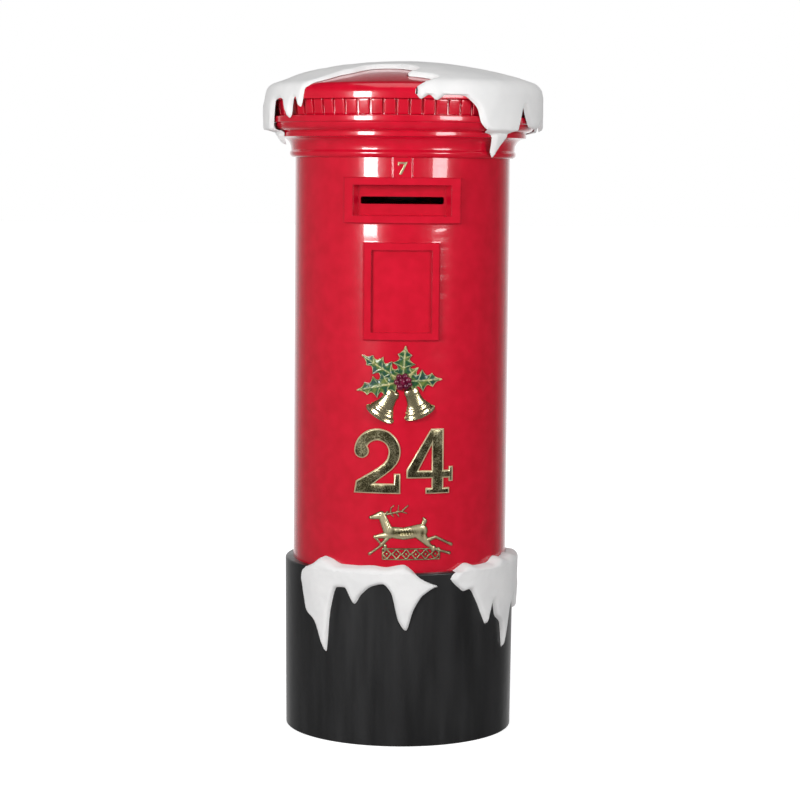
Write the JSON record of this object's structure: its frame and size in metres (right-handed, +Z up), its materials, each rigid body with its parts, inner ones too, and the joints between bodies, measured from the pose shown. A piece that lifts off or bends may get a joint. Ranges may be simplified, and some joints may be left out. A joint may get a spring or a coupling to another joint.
{
  "type": "christmas mailbox",
  "caption": "Round pillar letter box with a posting slot under a domed, corniced cap, relief snow on cap and plinth, gold Christmas castings on the front and a lockable rear door.",
  "frame": {"origin": "on the floor at the middle of the plinth, on the body's axis", "axes": "+Z up, -Y towards the posting slot and the castings, +Y towards the rear door, +X to the right of someone who stands in front of the slot"},
  "size_m": [0.6308, 0.6283, 1.4989],
  "materials": {
    "red_shell": "gloss",
    "black_shell": "satin",
    "snow": "matte",
    "gold": "painted gold, satin",
    "leaf_green": "satin",
    "berry_red": "gloss",
    "steel": "satin",
    "lock_brass": "satin",
    "plywood": "matte",
    "seal_rubber": "matte"
  },
  "bodies": {
    "shell": {"plinth": "black_shell", "base_board": "plywood", "base_screws": "steel", "floor_board": "plywood", "body_shell": "red_shell", "cap": "red_shell", "block_course": "red_shell", "cap_snow": "snow", "plinth_snow_left": "snow", "plinth_snow_right": "snow", "number_seven": "gold", "numeral_two": "gold", "numeral_four": "gold", "holly_leaves": "leaf_green", "holly_berries": "berry_red", "bell_left": "gold", "bell_right": "gold", "reindeer_casting": "gold", "door_seal": "seal_rubber", "upper_hinge_frame_leaf": "steel", "upper_hinge_pin": "steel", "lower_hinge_frame_leaf": "steel", "lower_hinge_pin": "steel", "frame_rivets": "steel", "cap_bolts": "steel", "cap_washers": "steel", "cap_nuts": "steel", "floor_bolts": "steel", "floor_washers": "steel", "floor_nuts": "steel"},
    "door": {"rear_door": "red_shell", "upper_hinge_door_leaf": "steel", "lower_hinge_door_leaf": "steel", "door_rivets": "steel", "lock_housing": "steel", "lock_nut": "steel"},
    "lock": {"lock_plug": "lock_brass", "lock_cam": "steel", "cam_screw": "steel"}
  },
  "joints": [
    {"name": "door_hinge", "type": "hinge", "parent": "shell", "child": "door", "pos_m": [0.14703, 0.19785, 0.74], "axis": [0, 0, -1], "range_deg": [0, 110]},
    {"name": "lock_turn", "type": "hinge", "parent": "door", "child": "lock", "pos_m": [-0.107, 0.21594, 0.74], "axis": [-0.444, 0.896, 0], "range_deg": [0, 90]}
  ]
}
